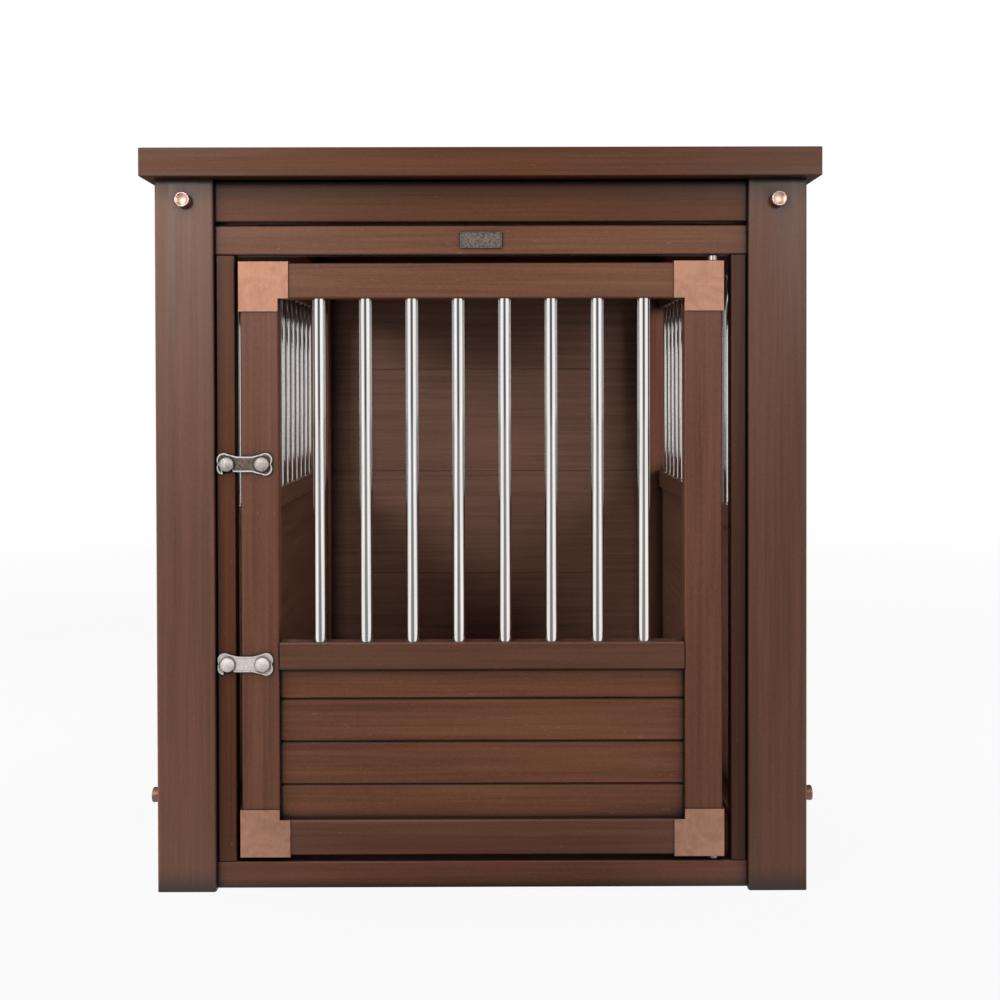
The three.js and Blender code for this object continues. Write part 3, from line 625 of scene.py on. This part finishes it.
def makePost(node, variant):
    low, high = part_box(node)
    obj = addBlock(pieceName(node), low, high)
    pickEnds(obj)
    bpy.ops.mesh.inset(thickness=post["wall"], depth=0)
    bpy.ops.mesh.bridge_edge_loops()

    def outerCorner(edge):
        spot = edge.verts[0].co
        return runsAlong(edge, 2) and any(near(spot.x, x) and near(spot.y, y)
                                          for x in (low.x, high.x) for y in (low.y, high.y))

    pick(obj, "EDGE", outerCorner)
    bevelPicked(post["corner"], post["segments"])
    finishPiece(obj, node, boardFor(node, "z", variant))


for number, node in enumerate(("front_left_post", "front_right_post", "rear_left_post", "rear_right_post")):
    makePost(node, number)
print("posts done")

member = {"corner": 2.5 * mm, "segments": 4, "endEase": 0.4 * mm}


# A straight member whose long edges are rounded and whose ends are eased
def makeMember(node, axis, corner=member["corner"]):
    low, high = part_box(node)
    obj = addBlock(pieceName(node), low, high)
    pick(obj, "EDGE", lambda edge: runsAlong(edge, axis))
    bevelPicked(corner, member["segments"])
    pick(obj, "EDGE", lambda edge: liesOn(edge, axis, low[axis]) or liesOn(edge, axis, high[axis]))
    bevelPicked(member["endEase"])
    leaveEdit()
    return obj


# Round holes for the ends of bars or pins, cut with one cutter
def drill(obj, spots, radius, low, high):
    cutters = []
    for x, y in spots:
        deselectAll()
        bpy.ops.mesh.primitive_cylinder_add(vertices=bar["boreSides"], radius=radius, depth=high - low,
                                            location=(x, y, (low + high) / 2))
        cutters.append(bpy.context.active_object)
    deselectAll()
    for cutter in cutters:
        cutter.select_set(True)
    bpy.context.view_layer.objects.active = cutters[0]
    bpy.ops.object.join()
    cutter = cutters[0]
    deselectAll()
    bpy.context.view_layer.objects.active = obj
    obj.select_set(True)
    bpy.ops.object.modifier_add(type="BOOLEAN")
    obj.modifiers[-1].object = cutter
    obj.modifiers[-1].operation = "DIFFERENCE"
    bpy.ops.object.modifier_apply(modifier=obj.modifiers[-1].name)
    bpy.data.objects.remove(cutter)


bars = {
    "door_bars": {"count": 8, "axis": 0},
    "left_window_bars": {"count": 18, "axis": 1},
    "right_window_bars": {"count": 18, "axis": 1},
}
bar = {"radius": 7.5 * mm, "sides": 32, "margin": 0.5 * mm, "wall": 1 * mm,
       "boreDepth": 14 * mm, "boreGap": 0.3 * mm, "boreSides": 32}


def barSpots(node):
    low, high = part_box(node)
    axis, count = bars[node]["axis"], bars[node]["count"]
    middle = (low + high) / 2
    first = low[axis] + bar["radius"] + bar["margin"]
    last = high[axis] - bar["radius"] - bar["margin"]
    spots = []
    for i in range(count):
        spot = [middle.x, middle.y]
        spot[axis] = first + (last - first) * i / (count - 1)
        spots.append(spot)
    return spots


# One tube with open ends is modelled, and the others are copies of it
def makeBars(node):
    low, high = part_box(node)
    spots = barSpots(node)
    deselectAll()
    bpy.ops.mesh.primitive_cylinder_add(vertices=bar["sides"], radius=bar["radius"], depth=high.z - low.z,
                                        location=(*spots[0], (low.z + high.z) / 2))
    bpy.ops.object.transform_apply(location=True, rotation=True, scale=True)
    tube = named(pieceName(node))
    pickEnds(tube)
    bpy.ops.mesh.inset(thickness=bar["wall"], depth=0)
    bpy.ops.mesh.bridge_edge_loops()
    leaveEdit()
    tubes = [tube]
    for spot in spots[1:]:
        copy = tube.copy()
        copy.data = tube.data.copy()
        copy.data.transform(Matrix.Translation((spot[0] - spots[0][0], spot[1] - spots[0][1], 0)))
        bpy.context.collection.objects.link(copy)
        tubes.append(copy)
    deselectAll()
    for piece in tubes:
        piece.select_set(True)
    bpy.context.view_layer.objects.active = tube
    bpy.ops.object.join()
    finishPiece(tube, node, barSteel)


for node in bars:
    makeBars(node)
print("bars done")

# plain members and the axis that each runs along
for number, (node, axis) in enumerate({
    "front_apron": 0, "front_header": 0, "front_sill": 0, "latch_jamb": 2, "hinge_jamb": 2,
    "rear_bottom_rail": 0, "left_bottom_rail": 1, "right_bottom_rail": 1, "door_latch_stile": 2,
    "door_hinge_stile": 2, "door_bottom_rail": 0,
}.items()):
    obj = makeMember(node, axis)
    finishPiece(obj, node, boardFor(node, "xyz"[axis], number))

# rails that hold the ends of bars
for number, (node, barNode) in enumerate({
    "door_top_rail": "door_bars", "door_middle_rail": "door_bars",
    "left_middle_rail": "left_window_bars", "right_middle_rail": "right_window_bars",
}.items()):
    axis = bars[barNode]["axis"]
    low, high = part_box(node)
    obj = makeMember(node, axis)
    mouth = low.z if node == "door_top_rail" else high.z
    drill(obj, barSpots(barNode), bar["radius"] + bar["boreGap"],
          mouth - bar["boreDepth"], mouth + bar["boreDepth"])
    finishPiece(obj, node, boardFor(node, "xyz"[axis], number + 1))
print("frame and door members done")

# the line along a side top rail, level with the gap over the front header
sideLine = {"low": 775.2 * mm, "high": 779 * mm, "depth": 6 * mm, "endWall": 0.5 * mm}


def makeSideTopRail(node, barNode, outwards):
    low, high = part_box(node)
    obj = makeMember(node, 1)
    face = high.x if outwards > 0 else low.x
    pick(obj, "FACE", lambda part: True)
    for level in (sideLine["low"], sideLine["high"]):
        cutAt(2, level)
    end = sideLine["endWall"] + member["endEase"]
    for level in (low.y + end, high.y - end):
        cutAt(1, level)

    def inLine(part):
        spot = part.calc_center_median()
        return (liesOn(part, 0, face) and sideLine["low"] < spot.z < sideLine["high"]
                and low.y + end < spot.y < high.y - end)

    pick(obj, "FACE", inLine)
    extrudeBy(0, -outwards * sideLine["depth"])
    leaveEdit()
    drill(obj, barSpots(barNode), bar["radius"] + bar["boreGap"],
          low.z - bar["boreDepth"], low.z + bar["boreDepth"])
    finishPiece(obj, node, boardFor(node, "y", 1))


makeSideTopRail("left_top_rail", "left_window_bars", -1)
makeSideTopRail("right_top_rail", "right_window_bars", 1)
print("side top rails done")

slats = {
    "base": 19.3 * mm,
    "pitch": 50.4 * mm,
    "half": 2.2 * mm,  # half the width of a V line
    "depth": 2.4 * mm,
    "lip": 0.5 * mm,
    "seam": 1 * mm,
    "perBoard": 4,
    "border": 3 * mm,  # no line is nearer than this to a board's edge
    "lap": 0.35 * mm,  # keeps light out between boards
    "lapEase": 1.5 * mm,
    "ease": 0.8 * mm,
}


# Boards with V lines on their outer face and a fine seam inside where two boards meet
def makeSlats(node, acrossAxis, outwards, seams=False, variant=0, lap=0):
    low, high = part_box(node)
    low.z -= lap
    obj = addBlock(pieceName(node), low, high)
    outer, inner = (high, low) if outwards > 0 else (low, high)
    count = int((high.z - slats["base"]) / slats["pitch"]) + 1
    lines = [(slats["base"] + i * slats["pitch"], i % slats["perBoard"] == 0) for i in range(count)]
    lines = [(level, seam) for level, seam in lines
             if low.z + slats["border"] < level < high.z - slats["border"]]
    pick(obj, "FACE", lambda part: True)
    for level, seam in lines:
        for offset in (-slats["half"], 0, slats["half"]):
            cutAt(2, level + offset)

    def onFace(vert, face, levels):
        return (near(vert.co[acrossAxis], face[acrossAxis])
                and any(near(vert.co.z, level) for level in levels))

    if lines:
        levels = [level for level, seam in lines]
        pick(obj, "VERT", lambda vert: onFace(vert, outer, levels))
        moveBy(acrossAxis, -outwards * slats["depth"])
    seamLevels = [level for level, seam in lines if seam and seams]
    if seamLevels:
        pick(obj, "VERT", lambda vert: onFace(vert, inner, seamLevels))
        moveBy(acrossAxis, outwards * slats["seam"])
    lipLevels = [level + offset for level, seam in lines for offset in (-slats["half"], slats["half"])]

    def isLip(edge):
        return (all(onFace(vert, outer, lipLevels) for vert in edge.verts)
                and near(edge.verts[0].co.z, edge.verts[1].co.z))

    if pick(obj, "EDGE", isLip):
        bevelPicked(slats["lip"])

    def isLongEdge(edge, face):
        return ((liesOn(edge, 2, low.z) or liesOn(edge, 2, high.z)) and runsAlong(edge, 1 - acrossAxis)
                and liesOn(edge, acrossAxis, face[acrossAxis]))

    # where boards of the rear wall meet, their edges form one more line
    pick(obj, "EDGE", lambda edge: isLongEdge(edge, outer))
    bevelPicked(slats["half"] if lap else slats["ease"], 1 if lap else 2)
    pick(obj, "EDGE", lambda edge: isLongEdge(edge, inner))
    bevelPicked(slats["lapEase"] if lap else slats["ease"])
    finishPiece(obj, node, boardFor(node, "yx"[acrossAxis], variant), angle=smooth["boards"])


makeSlats("door_slatted_panel", 1, -1)
makeSlats("left_lower_boards", 0, -1, True, 1)
makeSlats("right_lower_boards", 0, 1, True, 2)
for number in range(1, 5):
    makeSlats(f"rear_board_{number}", 1, 1, False, number, slats["lap"])
print("slatted boards done")

tableTop = {"railWidth": 51 * mm, "ledge": 12 * mm, "rebate": 12.3 * mm, "corner": 1.2 * mm,
            "segments": 4, "boardEase": 0.9 * mm}


# A mitred edge rail: the long outer edges are rounded, and the inner side has a ledge for the boards
def makeEdgeRail(node, axis, outwards, variant):
    low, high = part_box(node)
    across = 1 - axis
    ledgeTop = high.z - tableTop["rebate"]
    obj = addBlock(pieceName(node), low, (high.x, high.y, ledgeTop))
    outer, inner = (high[across], low[across]) if outwards > 0 else (low[across], high[across])
    for end, move in ((low[axis], 1), (high[axis], -1)):
        pick(obj, "VERT", lambda vert: near(vert.co[axis], end) and near(vert.co[across], inner))
        moveBy(axis, move * tableTop["railWidth"])
    ledge = inner + outwards * tableTop["ledge"]
    cutAt(across, ledge)

    def topOuter(face):
        return liesOn(face, 2, ledgeTop) and (face.calc_center_median()[across] - ledge) * outwards > 0

    pick(obj, "FACE", topOuter)
    extrudeBy(2, tableTop["rebate"])
    pick(obj, "EDGE", lambda edge: runsAlong(edge, axis) and liesOn(edge, across, outer)
         and (liesOn(edge, 2, high.z) or liesOn(edge, 2, low.z)))
    bevelPicked(tableTop["corner"], tableTop["segments"])
    pick(obj, "EDGE", lambda edge: runsAlong(edge, axis) and liesOn(edge, 2, high.z)
         and liesOn(edge, across, ledge))
    bevelPicked(tableTop["boardEase"])
    finishPiece(obj, node, boardFor(node, "xy"[axis], variant))


makeEdgeRail("tabletop_front_edge", 0, -1, 0)
makeEdgeRail("tabletop_rear_edge", 0, 1, 1)
makeEdgeRail("tabletop_left_edge", 1, -1, 2)
makeEdgeRail("tabletop_right_edge", 1, 1, 0)
for number in range(1, 6):
    node = f"tabletop_board_{number}"
    obj = makeMember(node, 0, corner=tableTop["boardEase"])
    finishPiece(obj, node, boardFor(node, "x", number))
print("table top done")

bracket = {"face": 1.2 * mm, "wrap": 1.6 * mm, "stile": 46.1 * mm, "rail": 43.4 * mm,
           "fold": 0.9 * mm, "segments": 4, "edge": 0.45 * mm}


# An L-shaped face with two edges folded back round the door's corner
def makeBracket(node, across, up):
    low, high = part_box(node)
    cornerX = low.x if across > 0 else high.x
    cornerZ = low.z if up > 0 else high.z
    front, back = low.y, high.y
    stileSide = cornerX + across * bracket["stile"]
    railSide = cornerZ + up * bracket["rail"]
    xLow, xHigh = sorted((cornerX, stileSide))
    zLow, zHigh = sorted((cornerZ, railSide))
    obj = addBlock(pieceName(node), (xLow, front, zLow), (xHigh, front + bracket["face"], zHigh))
    pick(obj, "FACE", lambda face: liesOn(face, 0, stileSide))
    extrudeBy(0, across * (high.x - low.x - bracket["stile"]))
    pick(obj, "FACE", lambda face: liesOn(face, 2, railSide)
         and (face.calc_center_median().x - stileSide) * across < 0)
    extrudeBy(2, up * (high.z - low.z - bracket["rail"]))
    foldX = cornerX + across * bracket["wrap"]
    foldZ = cornerZ + up * bracket["wrap"]
    cutAt(0, foldX)
    cutAt(2, foldZ)

    def underFold(face):
        spot = face.calc_center_median()
        return (liesOn(face, 1, front + bracket["face"])
                and ((spot.x - foldX) * across < 0 or (spot.z - foldZ) * up < 0))

    pick(obj, "FACE", underFold)
    extrudeBy(1, back - front - bracket["face"])
    pick(obj, "EDGE", lambda edge: liesOn(edge, 1, front)
         and (liesOn(edge, 0, cornerX) or liesOn(edge, 2, cornerZ)))
    bevelPicked(bracket["fold"], bracket["segments"])
    pick(obj, "EDGE", lambda edge: liesOn(edge, 1, front) and isSharp(edge))
    bevelPicked(bracket["edge"])
    finishPiece(obj, node, copper)


makeBracket("upper_latch_side_bracket", 1, -1)
makeBracket("lower_latch_side_bracket", 1, 1)
makeBracket("upper_hinge_side_bracket", -1, -1)
makeBracket("lower_hinge_side_bracket", -1, 1)
print("brackets done")


# A disc drawn out ring by ring along Z, each ring at its own radius, then laid along its axis at its place
def turnPiece(name, rings, place, direction, sides=48):
    deselectAll()
    radius, level = rings[0]
    bpy.ops.mesh.primitive_circle_add(vertices=sides, radius=radius, fill_type="NGON",
                                      location=(0, 0, level))
    bpy.ops.object.transform_apply(location=True, rotation=True, scale=True)
    obj = named(name)
    bpy.ops.object.mode_set(mode="EDIT")
    bpy.ops.mesh.select_mode(type="FACE")
    bpy.ops.mesh.select_all(action="SELECT")
    for nextRadius, nextLevel in rings[1:]:
        extrudeBy(2, nextLevel - level)
        share = nextRadius / radius
        bpy.ops.transform.resize(value=(share, share, 1), center_override=(0, 0, nextLevel))
        radius, level = nextRadius, nextLevel
    bpy.ops.mesh.select_all(action="SELECT")
    bpy.ops.mesh.normals_make_consistent(inside=False)
    leaveEdit()
    turn = Vector((0, 0, 1)).rotation_difference(Vector(direction)).to_matrix().to_4x4()
    obj.data.transform(Matrix.Translation(place) @ turn)
    obj.data.update()
    return obj


knobBolt = {
    "height": 9 * mm,
    "seat": 0.3 * mm,
    "shank": 3 * mm,
    "tipEase": 0.8 * mm,
    # the head, from the middle of its dish to the shank: radius and height off the post in millimetres
    "rings": ((0.5, 7.3), (4.6, 7.55), (6.3, 8.35), (7.1, 8.9), (7.6, 9.0), (8.1, 8.95), (8.5, 8.6),
              (8.72, 8.0), (8.6, 6.0), (8.35, 2.0), (8.2, 0.6), (8.0, 0.3), (3.0, 0.3)),
}


def makeBolt(node, direction, finish):
    low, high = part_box(node)
    middle = (low + high) / 2
    axis = max(range(3), key=lambda i: abs(direction[i]))
    length = high[axis] - low[axis]
    crown = (high if direction[axis] > 0 else low)[axis]
    place = Vector(middle)
    place[axis] = crown - direction[axis] * (knobBolt["height"] + knobBolt["seat"])
    shank, ease = knobBolt["shank"], knobBolt["tipEase"]
    tip = knobBolt["height"] + knobBolt["seat"] - length
    rings = [(radius * mm, height * mm + knobBolt["seat"]) for radius, height in knobBolt["rings"]]
    rings += [(shank, tip + ease), (shank - ease, tip)]
    obj = turnPiece(pieceName(node), rings, place, direction)
    finishPiece(obj, node, finish, angle=smooth["turned"])


# the low bolts on the posts' sides take the darker copper, painted shade
for end, facing in (("front", (0, -1, 0)), ("rear", (0, 1, 0))):
    for side, outwards in (("left", (-1, 0, 0)), ("right", (1, 0, 0))):
        makeBolt(f"{end}_{side}_high_bolt", facing, boltCopper)
        makeBolt(f"{end}_{side}_low_bolt", outwards, lowBoltCopper)
print("bolts done")

catch = {
    "head": 8.35 * mm,
    "neck": 5 * mm,
    "stud": 3 * mm,
    "studLength": 15 * mm,
    "studEase": 0.6 * mm,
    "plate": 2.5 * mm,
    "seat": 0.3 * mm,
    # the dome, from its crown to its back face: radius and height above that face in millimetres
    "rings": ((0.4, 6.0), (2.4, 5.9), (4.4, 5.55), (6.1, 4.95), (7.2, 4.3), (7.75, 3.8), (8.1, 3.3),
              (8.33, 2.6), (8.35, 0.5), (8.1, 0.0)),
}


# A domed knob on a stud: its neck is round, and the stud runs into the wood
def domedKnob(name, headBack, neck, neckEnd, x, z, faceY):
    stud, ease, tip = catch["stud"], catch["studEase"], -catch["studLength"]
    rings = [(radius * mm, headBack + height * mm) for radius, height in catch["rings"]]
    rings += [(neck, headBack), (neck, neckEnd), (stud, neckEnd), (stud, tip + ease), (stud - ease, tip)]
    return turnPiece(name, rings, (x, faceY, z), (0, -1, 0))


def makeCatch(node, knobFinish):
    low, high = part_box(node)
    middle = (low + high) / 2
    faceY = high.y - catch["studLength"]
    headBack = 2 * catch["seat"] + catch["plate"]
    obj = domedKnob(pieceName(node), headBack, catch["neck"], catch["seat"],
                    middle.x, middle.z, faceY)
    finishPiece(obj, node, knobFinish, angle=smooth["turned"])


# millimetres and degrees
plate = {
    "spacing": 41,
    "radius": 8,
    "rise": 5.1,
    "reach": 3.8,
    "notch": 34,
    "shoulder": 122.4,
    "waist": 8.9,
    "waistRun": 12,
    "hookDrop": 4.1,
    "hookAngle": 75,
    "hookEase": 0.9,
    "slotHalf": 5.8,
    "slotTurn": 0.5,  # how far past level the slot's sides run
    "slotEnd": 5,
    "border": 0.3,
    "rim": 1.15,
    "slope": 0.35,
    "rimDepth": 0.55,
    "ease": 0.3,
    "neckInset": 1,
    "neckSink": 0.4,
    "knuckleSteps": 12,
    "hookSteps": 10,  # also along the slot's closed end
    "slotSteps": 6,
}


def arcPoints(x, z, radius, start, end, steps):
    angles = [math.radians(start + (end - start) * i / steps) for i in range(steps + 1)]
    return [(x + radius * math.cos(angle), z + radius * math.sin(angle)) for angle in angles]


# Outline of the bone-shaped plate round its pivot, with the curved slot that drops over the catch
def plateOutline():
    inner = plate["spacing"] - plate["slotHalf"]
    outer = plate["spacing"] + plate["slotHalf"]
    far = -plate["spacing"] - plate["reach"]
    mouth = 180 + math.degrees(math.asin(plate["waist"] / inner))
    hookEnd = plate["hookDrop"] + plate["radius"] - plate["hookEase"]
    tip = 180 + math.degrees(math.asin(hookEnd / outer))
    rise, reach, radius = plate["rise"], plate["reach"], plate["radius"]
    waist, run = plate["waist"], plate["waistRun"]
    notch, shoulder = plate["notch"], plate["shoulder"]
    slotTop, slotEnd = 180 + plate["slotTurn"], plate["slotEnd"]
    steps = plate["knuckleSteps"]
    points = [(-run, -waist)]
    points += arcPoints(reach, -rise, radius, -shoulder, notch, steps)
    points += arcPoints(reach, rise, radius, -notch, shoulder, steps)
    points += [(-run, waist), (-plate["spacing"] + run, waist)]
    points += arcPoints(far, rise, radius, 180 - shoulder, 180 + notch, steps)
    points += arcPoints(far, -plate["hookDrop"], radius, 180 - notch, 180 + plate["hookAngle"],
                        plate["hookSteps"])
    points += arcPoints(0, 0, outer, tip, slotTop, plate["slotSteps"])
    points += arcPoints(-plate["spacing"], 0, plate["slotHalf"], 180 - slotEnd, slotEnd, plate["hookSteps"])
    points += arcPoints(0, 0, inner, slotTop, mouth, plate["slotSteps"])
    return points


# A disc whose rim points are moved onto the outline, drawn out to the plate's thickness, with a raised rim
def makeLatch(node, rim, field, knobFinish):
    low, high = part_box(node)
    faceY = high.y - catch["studLength"]
    pivotX = high.x - (plate["reach"] + plate["radius"]) * mm
    pivotZ = high.z - (plate["rise"] + plate["radius"]) * mm
    points = plateOutline()
    deselectAll()
    bpy.ops.mesh.primitive_circle_add(vertices=len(points), radius=10 * mm, fill_type="NGON")
    obj = named(pieceName(node))
    back = -catch["seat"]
    for vert, (x, z) in zip(obj.data.vertices, points):
        vert.co = (pivotX + x * mm, faceY + back, pivotZ + z * mm)
    pick(obj, "FACE", lambda face: True)
    extrudeBy(1, -catch["plate"])
    bpy.ops.mesh.select_all(action="SELECT")
    bpy.ops.mesh.normals_make_consistent(inside=False)
    front = faceY + back - catch["plate"]
    pick(obj, "FACE", lambda face: liesOn(face, 1, front))
    for step in ("border", "rim", "slope"):
        bpy.ops.mesh.inset(thickness=plate[step] * mm, depth=0)
    moveBy(1, plate["rimDepth"] * mm)
    pick(obj, "EDGE", lambda edge: liesOn(edge, 1, front) and isSharp(edge))
    bevelPicked(plate["ease"] * mm)
    leaveEdit()
    headBack = 2 * catch["seat"] + catch["plate"]
    knob = domedKnob(pieceName(node) + "Knob", headBack, catch["head"] - plate["neckInset"] * mm,
                     catch["seat"] + plate["neckSink"] * mm, pivotX, pivotZ, faceY)
    finishPiece(knob, node, knobFinish, angle=smooth["turned"])
    finishPiece(obj, node, rim, angle=smooth["turned"])
    obj.data.materials.append(field)
    fieldY = front + plate["rimDepth"] * mm
    for face in obj.data.polygons:
        inField = all(near(obj.data.vertices[i].co.y, fieldY) for i in face.vertices)
        face.material_index = 1 if inField else 0


# the upper catch and latch take the darker nickel copies, painted darker reflection, and the lower ones the
# pale copy, painted glare
makeCatch("upper_catch_knob", nickel["knob"])
makeCatch("lower_catch_knob", nickel["bright"])
makeLatch("upper_latch_plate", nickel["bright"], nickel["dark"], nickel["knob"])
makeLatch("lower_latch_plate", nickel["bright"], nickel["bright"], nickel["bright"])
print("latches done")

pin = {"radius": 4 * mm, "collar": 6.5 * mm, "gap": 0.3 * mm, "ease": 0.6 * mm,
       "inDoor": 25 * mm, "inFrame": 14 * mm}


def makePin(node, up):
    low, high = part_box(node)
    middle = (low + high) / 2
    start = low.z if up > 0 else high.z
    length = high.z - low.z
    radius, collar, ease = pin["radius"], pin["collar"], pin["ease"]
    collarStart = pin["inDoor"] + pin["gap"]
    collarEnd = length - pin["inFrame"] - pin["gap"]
    rings = [(radius - ease, 0), (radius, ease), (radius, collarStart),
             (collar - ease, collarStart), (collar, collarStart + ease),
             (collar, collarEnd - ease), (collar - ease, collarEnd),
             (radius, collarEnd), (radius, length - ease), (radius - ease, length)]
    obj = turnPiece(pieceName(node), rings, (middle.x, middle.y, start), (0, 0, up))
    finishPiece(obj, node, pinShadeSteel, angle=smooth["turned"])


# both pins take the dark steel, painted shade
makePin("upper_pivot_pin", 1)
makePin("lower_pivot_pin", -1)

blank = {"rim": 1.2 * mm, "slope": 0.3 * mm, "depth": 0.4 * mm, "corner": 1.5 * mm, "segments": 4}


# A bare plate with a raised rim
def makeBlank(node):
    low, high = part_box(node)
    obj = addBlock(pieceName(node), low, high)
    pick(obj, "EDGE", lambda edge: runsAlong(edge, 1))
    bevelPicked(blank["corner"], blank["segments"])
    pick(obj, "FACE", lambda face: liesOn(face, 1, low.y))
    bpy.ops.mesh.inset(thickness=blank["rim"], depth=0)
    bpy.ops.mesh.inset(thickness=blank["slope"], depth=0)
    moveBy(1, blank["depth"])
    finishPiece(obj, node, nickel["dark"])


makeBlank("header_blank_plate")
print("pins and blank plate done")

# the piece that shows its own solid
kept = {"floor_panel": boards["frameBoard", "y", 0]}
for node, material in kept.items():
    obj = frame["nodes"][node]
    for slotIndex in range(len(obj.material_slots)):
        obj.material_slots[slotIndex].material = material
print("kept nodes finished")

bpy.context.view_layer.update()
deselectAll()
